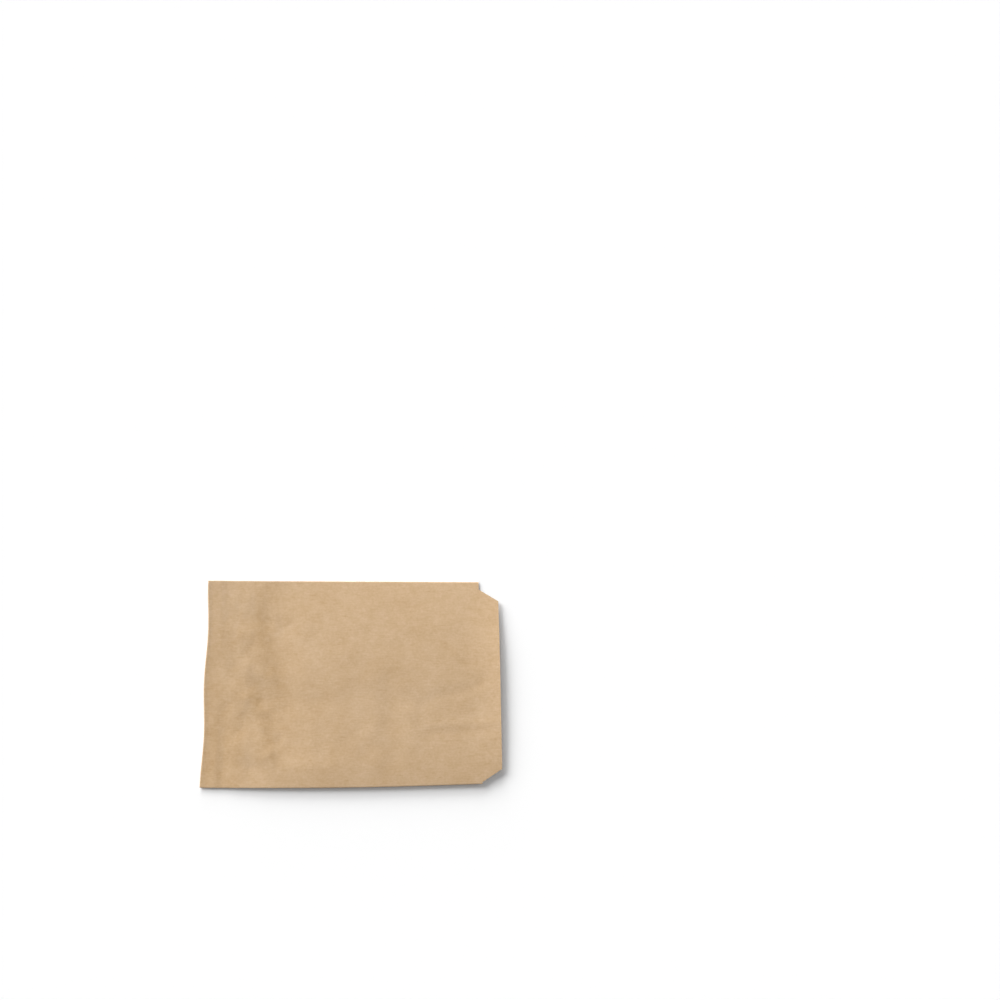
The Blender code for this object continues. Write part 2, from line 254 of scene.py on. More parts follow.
@dataclass(frozen=True)
class CrumpleField:
    """Small dents and pinched lines where the bottom end was folded, pasted and handled.

    Places are shares, as a crease's are. Spreads, heights and lengths are in metres, and
    turn is how far a line strays from straight across the bag, in radians.
    """

    dents: int = 60
    pinches: int = 16
    seed: int = 23
    along_low: float = 0.03
    along_high: float = 0.27
    across_reach: float = 0.94
    dent_spread: tuple[float, float] = (0.0026, 0.0050)
    dent_height: float = 0.00014
    dent_length: float = 0.010
    shortest_share: float = 0.3
    lowest_share: float = 0.4
    pinch_spread: tuple[float, float] = (0.0010, 0.0020)
    pinch_height: float = 0.00006
    pinch_length: float = 0.030
    turn: float = 0.55

    def creases(self, length: float, half_width: float) -> tuple[Crease, ...]:
        """Scatter the creases with a fixed seed.

        Args:
            length: length of the bag's body.
            half_width: half of its width.

        Returns:
            Creases that run mostly across the bag, as the turned end leaves them.
        """
        pick = random.Random(self.seed)
        made = []
        for number in range(self.dents + self.pinches):
            is_dent = number < self.dents
            along = pick.uniform(self.along_low, self.along_high)
            across = pick.uniform(-self.across_reach, self.across_reach)
            longest = self.dent_length if is_dent else self.pinch_length
            run = longest * pick.uniform(self.shortest_share, 1.0)
            turn = math.pi / 2 + pick.gauss(0.0, self.turn)
            end = (along + run * math.cos(turn) / length, across + run * math.sin(turn) / half_width)
            sign = pick.choice((-1.0, 1.0))
            highest = self.dent_height if is_dent else self.pinch_height
            height = sign * pick.uniform(self.lowest_share, 1.0) * highest
            spread = pick.uniform(*(self.dent_spread if is_dent else self.pinch_spread))
            form = CreaseForm.SOFT if is_dent else CreaseForm.PINCHED
            made.append(Crease(((along, across), end), spread, height, form))
        return tuple(made)


@dataclass
class FoldedSheet:
    """The bag's sheet in its folded form: where any point of it lies.

    Lengths are in metres. The outline, the folds and the layers are those of the solid
    part. The lift, the pillow, the curls and the steps are its soft forms, as the
    photograph shows them. A point of the tube is (along, y, height): along from the bottom
    fold, negative past it, y across the bag, and height from the under panel towards the
    facing panel.
    """

    total_length: float
    width: float
    lip_length: float = 0.017
    end_skew: float = 0.0011
    end_wave: float = 0.0017
    edge_bow: float = 0.0016
    paper: float = 0.00012
    paste: float = 0.00004
    lip_shoulder_far: float = 0.0070
    lip_shoulder_near: float = 0.0015
    lip_corner: float = 0.0108
    lip_curl: float = 0.0020
    lip_curl_run: float = 0.030
    lift: float = 0.0027
    lift_start: tuple[float, float] = (-0.020, 0.060)
    lift_across: tuple[float, float] = (-0.105, -0.011)
    end_curl: float = 0.0003
    end_curl_run: float = 0.0013
    drape_run: float = 0.032
    flap_length: float = 0.032
    flap_shoulder: float = 0.0025
    flap_corner: float = 0.0060
    turn_length: float = 0.009
    fold_radius: float = 0.00014
    settle_gap: float = 0.001
    settle_run: float = 0.008
    seam_lap: float = 0.014
    seam_paste: float = 0.008
    paste_fade: tuple[float, float] = (-0.060, 0.070)
    joggle_gap: float = 0.0004
    joggle_run: float = 0.0016
    side_fold_radius: float = 0.00045
    pillow_height: float = 0.0030
    pillow_run: float = 0.125
    pillow_power: float = 2.0
    edge_power: float = 8.0
    creased_length: float = 0.080
    steps: tuple[PressedStep, ...] = PRESSED_STEPS
    creases: tuple[Crease, ...] = LARGE_CREASES
    crumple: CrumpleField = field(default_factory=CrumpleField)

    def __post_init__(self) -> None:
        """Work out the sizes that follow from the others."""
        self.pitch = self.paper + self.paste
        self.half_width = 0.5 * (self.width - self.paper)
        self.body_length = self.total_length - self.lip_length
        self.fold_arc = math.pi * self.fold_radius
        self.turned_end = -self.fold_arc - self.turn_length
        self.past_turn = self.turn_length + self.settle_gap
        self.past_flap = self.flap_length + self.settle_gap
        self.fold_depth = self.fold_radius + 2 * self.pitch + 0.5 * self.paper
        self.end_x = -0.5 * self.total_length + self.fold_depth
        self.mouth = self.body_length - self.fold_depth
        self.tip = self.mouth + self.lip_length
        self.all_creases = self.creases + self.crumple.creases(self.body_length, self.half_width)

    def side_radius(self, along: np.ndarray) -> np.ndarray:
        """Bend of a side fold: pressed flat over the flap, softer towards the mouth."""
        softness = smooth_step(along, self.flap_length, self.flap_length + self.creased_length)
        return self.pitch + (self.side_fold_radius - self.pitch) * softness

    def under_height(self, along: np.ndarray) -> np.ndarray:
        """Height of the under panel's middle above the floor.

        Args:
            along: places along the bag, past the bottom fold.

        Returns:
            Heights over the fold's layers, then over the flap, then on the floor.
        """
        folded = 0.5 * self.paper + 2 * self.pitch + 2 * self.fold_radius
        on_flap = 0.5 * self.paper + self.pitch
        on_floor = 0.5 * self.paper
        first = smooth_step(along, self.past_turn, self.past_turn + self.settle_run)
        second = smooth_step(along, self.past_flap, self.past_flap + self.settle_run)
        return folded + (on_flap - folded) * first + (on_floor - on_flap) * second

    def stand_off(self, along: np.ndarray, y: np.ndarray) -> np.ndarray:
        """How far the near side and the tip of the bottom fold stand off the floor.

        Args:
            along: distances from the bottom fold, 0 or more.
            y: places across the bag, of the same shape.

        Returns:
            Heights in metres, the same for all layers.
        """
        rise = 1.0 - smooth_step(y, *self.lift_across)
        curl = self.end_curl * np.exp(-along / self.end_curl_run)
        return self.lift * rise * smooth_step(along, *self.lift_start) + curl

    def crease_relief(self, along: np.ndarray, y: np.ndarray) -> tuple[np.ndarray, np.ndarray]:
        """Sum the steps and creases of the facing panel.

        Args:
            along: places along the bag.
            y: places across it, of the same shape.

        Returns:
            Their height in metres, and how pinched the paper is there, from 0 to 1.
        """
        relief = np.zeros_like(along)
        pinch = np.zeros_like(along)
        for step in self.steps:
            relief += step.shape(along, y, self.body_length, self.half_width)[0]
        for crease in self.all_creases:
            profile = crease.profile(crease.distance(along, y, self.body_length, self.half_width))
            relief += crease.height * profile
            if crease.form is CreaseForm.PINCHED:
                pinch = np.maximum(pinch, profile * abs(crease.height) / self.crumple.pinch_height)
        return relief, np.clip(pinch, 0.0, 1.0)

    def across_share(self, along: np.ndarray, y: np.ndarray) -> np.ndarray:
        """Distance from the middle of the panel as a share, 1 at the side folds."""
        return np.clip(np.abs(y) / (self.half_width - self.side_radius(along)), 0.0, 1.0)

    def facing_height(self, along: np.ndarray, y: np.ndarray) -> np.ndarray:
        """Height of the facing panel over the under panel.

        Args:
            along: places along the bag.
            y: places across it, of the same shape.

        Returns:
            Heights in metres.
        """
        across = self.across_share(along, y)
        level = 1.0 - across ** self.pillow_power
        fill = smooth_step(along, 0.0, self.pillow_run)
        relief, _ = self.crease_relief(along, y)
        relief *= (1.0 - across ** self.edge_power) * smooth_step(along, 0.0, self.flap_length)
        curl = np.clip(1.0 - (self.tip - along) / self.lip_curl_run, 0.0, 1.0)
        soft = self.pillow_height * fill + self.lip_curl * curl ** 2 + self.drape(along)
        return 2 * self.side_radius(along) + np.maximum(0.0, soft * level + relief)

    def drape(self, along: np.ndarray) -> np.ndarray:
        """How far the facing panel spans over the steps of the layers below it.

        Args:
            along: places along the bag.

        Returns:
            Heights over the under panel, in metres.
        """
        folded = 2 * self.pitch + 2 * self.fold_radius
        spanned = smooth_step(along, self.past_turn, self.past_turn + self.drape_run)
        softer = folded * (1.0 - spanned)
        stepped = self.under_height(np.maximum(along, 0.0)) - 0.5 * self.paper
        return np.maximum(0.0, softer - stepped)

    def place(self, along: np.ndarray, y: np.ndarray, height: np.ndarray) -> np.ndarray:
        """Place points of the tube in the part's frame.

        Args:
            along: places along the tube, negative past the bottom fold.
            y: places across it.
            height: heights from the under panel towards the facing panel.

        Returns:
            Points, with x, y and z in the last axis.
        """
        across = y / self.half_width
        body_share = np.clip(along / self.mouth, 0.0, 1.0)
        shift = 0.5 * self.end_skew * (1.0 + across)
        shift = (shift + self.end_wave * np.sin(math.pi * across) ** 2) * (1.0 - body_share)
        bow = self.edge_bow * (1.0 - np.sin(math.pi * body_share))
        placed_y = y + bow * 0.5 * (1.0 - across)
        under = self.under_height(np.maximum(along, 0.0))
        centre_z = self.under_height(np.zeros(1))[0] - self.fold_radius
        angle = np.clip(-along / self.fold_radius, 0.0, math.pi)
        reach = self.fold_radius + height
        past_fold = np.minimum(0.0, along + self.fold_arc)
        x = np.where(along >= 0.0, along, -reach * np.sin(angle) - past_fold)
        z = np.where(along >= 0.0, under + height, centre_z + reach * np.cos(angle))
        from_fold = np.where(along >= 0.0, along, -past_fold)
        z = z + self.stand_off(from_fold, y)
        return np.stack([self.end_x + shift + x, placed_y, z], axis=-1)


class PanelPart(Enum):
    """The parts of a tube row, in order round the tube."""

    SEAM_INNER = "seam_inner"
    WING_NEAR = "wing_near"
    FOLD_NEAR = "fold_near"
    FACING = "facing"
    FOLD_FAR = "fold_far"
    WING_FAR = "wing_far"
    SEAM_OUTER = "seam_outer"


@dataclass
class PaperBag:
    """Builds the bag's fine mesh from its folded sheet, and dresses it.

    Steps and segments say how fine the mesh is. The runs say how far from a fold its rubbing
    and its painted highlight show and where the cockle starts, in metres.
    """

    sheet: FoldedSheet
    fine_step: float = 0.00125
    coarse_step: float = 0.0022
    across_step: float = 0.0019
    wing_step: float = 0.0080
    lap_step: float = 0.0040
    bend_segments: int = 8
    fold_segments: int = 10
    joggle_segments: int = 4
    fold_wear_and_highlight_run: float = 0.0012
    side_wear_and_highlight_run: float = 0.0009
    cockle_run: tuple[float, float] = (0.0015, 0.008)
    paste_blur: float = 0.004
    sharp_angle: float = math.radians(50.0)

    def row_stops(self) -> np.ndarray:
        """Stops along the tube, from its turned end to the mouth.

        Returns:
            Distances from the bottom fold in rising order, negative past it.
        """
        sheet = self.sheet
        marks = [0.0, sheet.turn_length, sheet.past_turn, sheet.past_turn + sheet.settle_run]
        marks += [sheet.flap_length, sheet.past_flap, sheet.past_flap + sheet.settle_run]
        marks.append(sheet.creased_length)
        turned = filled([sheet.turned_end, -sheet.fold_arc], self.wing_step)
        bend = [-sheet.fold_arc * (1.0 - k / self.fold_segments) for k in range(1, self.fold_segments)]
        crumpled = filled(marks, self.fine_step)
        plain = filled([sheet.creased_length, sheet.mouth], self.coarse_step)
        return np.array(turned + bend + crumpled + plain[1:])

    def facing_stops(self) -> list[float]:
        """Stops across the facing panel at the mouth.

        Returns:
            Places in rising order, among them every corner of the lip and the flap.
        """
        sheet = self.sheet
        edge = sheet.half_width - sheet.side_fold_radius
        cuts = [-sheet.half_width + sheet.lip_shoulder_near, -sheet.half_width + sheet.flap_shoulder]
        cuts += [sheet.half_width - sheet.lip_shoulder_far, sheet.half_width - sheet.flap_shoulder]
        return filled(sorted([-edge, edge] + cuts), self.across_step)

    def columns(self) -> list[tuple[PanelPart, float]]:
        """Columns round the tube, from the inner edge of the seam to the outer one.

        Returns:
            The part that each column is in, and its place in that part: y on the facing
            panel and the seam, an angle in a fold, and a share of the way on a wing.
        """
        sheet = self.sheet
        lap, paste = 0.5 * sheet.seam_lap, 0.5 * sheet.seam_paste
        step_top = lap + sheet.joggle_gap
        lapped = [-step_top] + filled([-lap, -paste, paste, lap], self.lap_step)
        joggle = [k / self.joggle_segments for k in range(1, self.joggle_segments + 1)]
        shares = filled([0.0, 1.0], self.wing_step / sheet.half_width)
        bends = [math.pi * k / self.bend_segments for k in range(1, self.bend_segments)]
        made = [(PanelPart.SEAM_INNER, stop) for stop in reversed(lapped)]
        made += [(PanelPart.SEAM_INNER, -step_top - sheet.joggle_run * share) for share in joggle]
        made += [(PanelPart.WING_NEAR, share) for share in shares[1:]]
        made += [(PanelPart.FOLD_NEAR, angle) for angle in bends]
        made += [(PanelPart.FACING, stop) for stop in self.facing_stops()]
        made += [(PanelPart.FOLD_FAR, angle) for angle in reversed(bends)]
        made += [(PanelPart.WING_FAR, share) for share in shares[:-1]]
        made += [(PanelPart.SEAM_OUTER, stop) for stop in reversed(lapped[1:])]
        return made

    def column_points(self, part: PanelPart, stop: float,
                      rows: np.ndarray) -> tuple[np.ndarray, np.ndarray]:
        """Follow one column along the tube.

        Args:
            part: the part of the tube that the column is in.
            stop: its place in that part.
            rows: stops along the tube.

        Returns:
            y and height at each row.
        """
        sheet = self.sheet
        radius = sheet.side_radius(rows)
        edge = sheet.half_width - radius
        low = -0.5 * sheet.seam_lap
        foot = low - sheet.joggle_gap - sheet.joggle_run
        if part is PanelPart.SEAM_INNER:
            share = smooth_step(np.full_like(rows, stop), foot, low - sheet.joggle_gap)
            return np.full_like(rows, stop), sheet.pitch * share
        if part is PanelPart.WING_NEAR:
            return foot + (-edge - foot) * stop, np.zeros_like(rows)
        if part is PanelPart.FOLD_NEAR:
            return -edge - radius * math.sin(stop), radius - radius * math.cos(stop)
        if part is PanelPart.FOLD_FAR:
            return edge + radius * math.sin(stop), radius - radius * math.cos(stop)
        if part is PanelPart.WING_FAR:
            return edge + (-low - edge) * stop, np.zeros_like(rows)
        if part is PanelPart.SEAM_OUTER:
            return np.full_like(rows, stop), np.zeros_like(rows)
        y = stop * edge / (sheet.half_width - sheet.side_fold_radius)
        return y, sheet.facing_height(rows, y)

    def tongue(self, low: float, high: float, alongs: list[float],
               narrowing: list[float]) -> list[Row]:
        """Rows of the lip or the flap.

        Args:
            low: y of its near corner where it starts.
            high: y of its far corner there.
            alongs: place of each row along the tube.
            narrowing: how far each row is drawn in from both sides.

        Returns:
            For each row its (along, y, height) arrays.
        """
        stops = np.array(self.facing_stops())[self.stops_between(low, high)]
        share = (stops - low) / (high - low)
        rows = []
        for along, inset in zip(alongs, narrowing):
            y = low + inset + share * (high - low - 2 * inset)
            places = np.full_like(y, along)
            height = np.full_like(y, 2 * self.sheet.pitch)
            if along > 0:
                height = self.sheet.facing_height(places, y)
            rows.append((places, y, height))
        return rows

    def stops_between(self, low: float, high: float) -> list[int]:
        """Find the facing panel's stops between two corners.

        Args:
            low: y of the near corner.
            high: y of the far corner.

        Returns:
            Indices in facing_stops, with the corners' own.
        """
        stops = self.facing_stops()
        return [k for k, stop in enumerate(stops) if low - CORNER_SLACK <= stop <= high + CORNER_SLACK]

    def lip(self) -> Tongue:
        """The facing panel's run past the mouth.

        Returns:
            y of its near and far corner at the mouth, and its rows up to the free edge.
        """
        sheet = self.sheet
        low = -sheet.half_width + sheet.lip_shoulder_near
        high = sheet.half_width - sheet.lip_shoulder_far
        past = filled([0.0, sheet.lip_length], self.fine_step)[1:]
        narrowing = [sheet.lip_corner * p / sheet.lip_length for p in past]
        return low, high, self.tongue(low, high, [sheet.mouth + p for p in past], narrowing)

    def flap(self) -> Tongue:
        """The facing panel's run past the under panel's turned end.

        Returns:
            y of its near and far corner there, and its rows up to the free edge.
        """
        sheet = self.sheet
        low = -sheet.half_width + sheet.flap_shoulder
        high = sheet.half_width - sheet.flap_shoulder
        free_length = sheet.flap_length - sheet.turn_length
        past = filled([0.0, free_length], self.wing_step)[1:]
        narrowing = [sheet.flap_corner * p / free_length for p in past]
        return low, high, self.tongue(low, high, [sheet.turned_end - p for p in past], narrowing)

    def build_surface(self) -> bpy.types.Object:
        """Fold the middle surface of the sheet.

        Returns:
            An object that holds the open surface, with its point attributes.
        """
        rows = self.row_stops()
        columns = self.columns()
        on_facing = np.array([part is PanelPart.FACING for part, _ in columns])
        facing = np.flatnonzero(on_facing)
        ys, heights = zip(*(self.column_points(part, stop, rows) for part, stop in columns))
        grid = [(np.full(len(columns), along), y, height)
                for along, y, height in zip(rows, np.array(ys).T, np.array(heights).T)]

        mesh = bmesh.new()
        for name in POINT_LAYERS:
            mesh.verts.layers.float.new(name)
        uv = mesh.loops.layers.uv.new("sheet")
        tube = [self.add_row(mesh, row, on_facing) for row in grid]
        strips = list(zip(tube, tube[1:]))
        for (low, high, tongue_rows), start in ((self.lip(), tube[-1]), (self.flap(), tube[0])):
            base = [start[facing[k]] for k in self.stops_between(low, high)]
            added = [self.add_row(mesh, row, np.full(len(base), True)) for row in tongue_rows]
            strips += list(zip([base] + added, added))
        for first, second in strips:
            for corners in zip(first, first[1:], second[1:], second):
                face = mesh.faces.new([vert for vert, _ in corners])
                for loop, (_, place) in zip(face.loops, corners):
                    loop[uv].uv = place
        bmesh.ops.recalc_face_normals(mesh, faces=mesh.faces)
        data = bpy.data.meshes.new("folded_sheet")
        mesh.to_mesh(data)
        mesh.free()
        surface = bpy.data.objects.new("folded_sheet", data)
        bpy.context.scene.collection.objects.link(surface)
        return surface

    def add_row(self, mesh: bmesh.types.BMesh, row: Row, is_facing: np.ndarray) -> list[PlacedVert]:
        """Add one row of vertices, with their attributes.

        Args:
            mesh: the mesh to add them to, which has the point layers.
            row: along, y and height of the points.
            is_facing: which of them are on the facing panel.

        Returns:
            Each vertex with its (along, y), in the row's order.
        """
        along, y, _ = row
        values = self.point_values(along, y, is_facing)
        made = []
        for k, point in enumerate(self.sheet.place(*row)):
            vert = mesh.verts.new(point)
            for name in POINT_LAYERS:
                vert[mesh.verts.layers.float[name]] = float(values[name][k])
            made.append((vert, (float(along[k]), float(y[k]))))
        return made

    def point_values(self, along: np.ndarray, y: np.ndarray,
                     is_facing: np.ndarray) -> dict[str, np.ndarray]:
        """Attributes of a row of points.

        Args:
            along: places along the tube.
            y: places across it.
            is_facing: which of them are on the facing panel.

        Returns:
            free: how far the paper can cockle; the rubbed mark: how rubbed or pinched it is,
                with a painted highlight along the folds; pasted: how much paste lies below it; and the
                step shade: how far it is bent down in a step, which the material paints as shade; each
                    from 0 to 1.
        """
        sheet = self.sheet
        across = sheet.across_share(along, y)
        free = np.where(is_facing, 1.0 - across ** sheet.edge_power, 0.0)
        free *= smooth_step(along, *self.cockle_run)
        _, pinch = sheet.crease_relief(along, y)
        from_side = (1.0 - across) * sheet.half_width
        # Painted highlight along the bottom fold and the side folds, where the rounded paper catches
        # the light, together with the rubbing that lightens it there.
        fold_wear_and_highlight = np.exp(-np.abs(along) / self.fold_wear_and_highlight_run)
        fold_wear_and_highlight = fold_wear_and_highlight + np.exp(-from_side / self.side_wear_and_highlight_run)
        wear_and_highlight = np.clip(np.where(is_facing, pinch, 0.0) * free + fold_wear_and_highlight, 0.0, 1.0)
        flap_start, flap_end = sheet.flap_length - self.paste_blur, sheet.flap_length + self.paste_blur
        pasted = 1.0 - smooth_step(along, flap_start, flap_end)
        pasted = pasted * (1.0 - smooth_step(y, *sheet.paste_fade))
        # Share of each step's slope, which the material darkens as painted shade.
        step_shade = np.zeros_like(along)
        for step in sheet.steps:
            step_shade += step.shape(along, y, sheet.body_length, sheet.half_width)[1]
        return {"free": free, "wear_and_highlight": wear_and_highlight, "pasted": pasted * is_facing, "step_shade": step_shade * free}

    def build(self, cockle: "PaperCockle", finish: "KraftFinish") -> bpy.types.Object:
        """Make the finished bag.

        Args:
            cockle: the waviness that the paper gets before its thickness.
            finish: the paper's material.

        Returns:
            The bag as one plain mesh, at the origin.
        """
        surface = self.build_surface()
        material = finish.material()
        cockle.add_to(surface, material)
        shell = surface.modifiers.new("thickness", "SOLIDIFY")
        shell.thickness = self.sheet.paper
        shell.offset = 0.0
        shell.use_even_offset = True
        shell.use_quality_normals = True
        bag = plain_copy(surface, "kraft_paper_bag")
        bag.data.shade_smooth()
        bag.data.set_sharp_from_angle(angle=self.sharp_angle)
        return bag


def plain_copy(source: bpy.types.Object, name: str) -> bpy.types.Object:
    """Turn an object with modifiers into a plain mesh, and remove the source.

    Args:
        source: the object that holds the modifiers.
        name: name of the result.

    Returns:
        A new object at the origin, with the evaluated mesh.
    """
    evaluated = source.evaluated_get(bpy.context.evaluated_depsgraph_get())
    data = bpy.data.meshes.new_from_object(evaluated)
    data.name = name
    made = bpy.data.objects.new(name, data)
    bpy.context.scene.collection.objects.link(made)
    bpy.data.objects.remove(source, do_unlink=True)
    return made


def math_node(tree: bpy.types.NodeTree, operation: str, first: bpy.types.NodeSocket | float,
              second: bpy.types.NodeSocket | float) -> bpy.types.NodeSocket:
    """Combine two values with a Math node.

    Args:
        tree: the tree to add it to.
        operation: the node's operation, as Blender names it.
        first: a socket or a number.
        second: a socket or a number.

    Returns:
        The socket of the result.
    """
    node = tree.nodes.new("ShaderNodeMath")
    node.operation = operation
    for socket, value in zip(node.inputs, (first, second)):
        if isinstance(value, bpy.types.NodeSocket):
            tree.links.new(value, socket)
        else:
            socket.default_value = value
    return node.outputs[0]


@dataclass(frozen=True)
class PaperCockle:
    """Fine waviness of kraft paper, laid over a surface by Geometry Nodes.

    The waves are its broad form and the crinkle its fine one. Heights are from the lowest
    point that the noise can give to the highest.
    """

    height: float = 0.00038
    wave_length: float = 0.020
    crinkle_height: float = 0.00009
    crinkle_length: float = 0.0060
    seed: float = 3.7
    detail: float = 2.0

    def add_to(self, surface: bpy.types.Object, material: bpy.types.Material) -> None:
        """Give a surface the cockle as a modifier.

        Args:
            surface: an object whose points hold the attribute "free".
            material: the material that the tree sets.
        """
        tree = self.tree()
        modifier = surface.modifiers.new("cockle", "NODES")
        modifier.node_group = tree
        values = {"Height": self.height, "Wave length": self.wave_length,
                  "Crinkle height": self.crinkle_height, "Crinkle length": self.crinkle_length,
                  "Seed": self.seed, "Paper": material}
        for item in tree.interface.items_tree:
            if item.item_type == "SOCKET" and item.in_out == "INPUT" and item.name in values:
                modifier[item.identifier] = values[item.name]
        surface.update_tag()

    def tree(self) -> bpy.types.GeometryNodeTree:
        """Build the node tree, with its sizes as named inputs.

        Returns:
            A tree that lifts the points of a sheet and sets its material.
        """
        tree = bpy.data.node_groups.new("paper_cockle", "GeometryNodeTree")
        face = tree.interface
        face.new_socket("Sheet", in_out="INPUT", socket_type="NodeSocketGeometry")
        for name in ("Height", "Wave length", "Crinkle height", "Crinkle length", "Seed"):
            face.new_socket(name, in_out="INPUT", socket_type="NodeSocketFloat")
        face.new_socket("Paper", in_out="INPUT", socket_type="NodeSocketMaterial")
        face.new_socket("Sheet", in_out="OUTPUT", socket_type="NodeSocketGeometry")
        nodes, links = tree.nodes, tree.links
        given = nodes.new("NodeGroupInput")
        result = nodes.new("NodeGroupOutput")
        waves = self.noise_layer(tree, given, "Wave length", "Height")
        crinkle = self.noise_layer(tree, given, "Crinkle length", "Crinkle height")
        total = math_node(tree, "ADD", waves, crinkle)
        free = nodes.new("GeometryNodeInputNamedAttribute")
        free.data_type = "FLOAT"
        free.inputs["Name"].default_value = "free"
        lifted = math_node(tree, "MULTIPLY", total, free.outputs["Attribute"])
        upwards = nodes.new("ShaderNodeCombineXYZ")
        links.new(lifted, upwards.inputs["Z"])
        move = nodes.new("GeometryNodeSetPosition")
        realize = nodes.new("GeometryNodeRealizeInstances")
        paint = nodes.new("GeometryNodeSetMaterial")
        links.new(given.outputs["Sheet"], move.inputs["Geometry"])
        links.new(upwards.outputs["Vector"], move.inputs["Offset"])
        links.new(move.outputs["Geometry"], realize.inputs["Geometry"])
        links.new(realize.outputs["Geometry"], paint.inputs["Geometry"])
        links.new(given.outputs["Paper"], paint.inputs["Material"])
        links.new(paint.outputs["Geometry"], result.inputs["Sheet"])
        return tree

    def noise_layer(self, tree: bpy.types.GeometryNodeTree, given: bpy.types.Node,
                    length_name: str, height_name: str) -> bpy.types.NodeSocket:
        """Add one scale of noise.

        Args:
            tree: the tree to add it to.
            given: the tree's input node.
            length_name: the input that holds the wave length.
            height_name: the input that holds the full height.

        Returns:
            The socket that gives the lift in metres, as much below 0 as above it.
        """
        noise = tree.nodes.new("ShaderNodeTexNoise")
        noise.noise_dimensions = "4D"
        noise.inputs["Detail"].default_value = self.detail
        scale = math_node(tree, "DIVIDE", 1.0, given.outputs[length_name])
        tree.links.new(scale, noise.inputs["Scale"])
        tree.links.new(given.outputs["Seed"], noise.inputs["W"])
        centred = math_node(tree, "SUBTRACT", noise.outputs["Fac"], NOISE_MIDDLE)
        return math_node(tree, "MULTIPLY", centred, given.outputs[height_name])


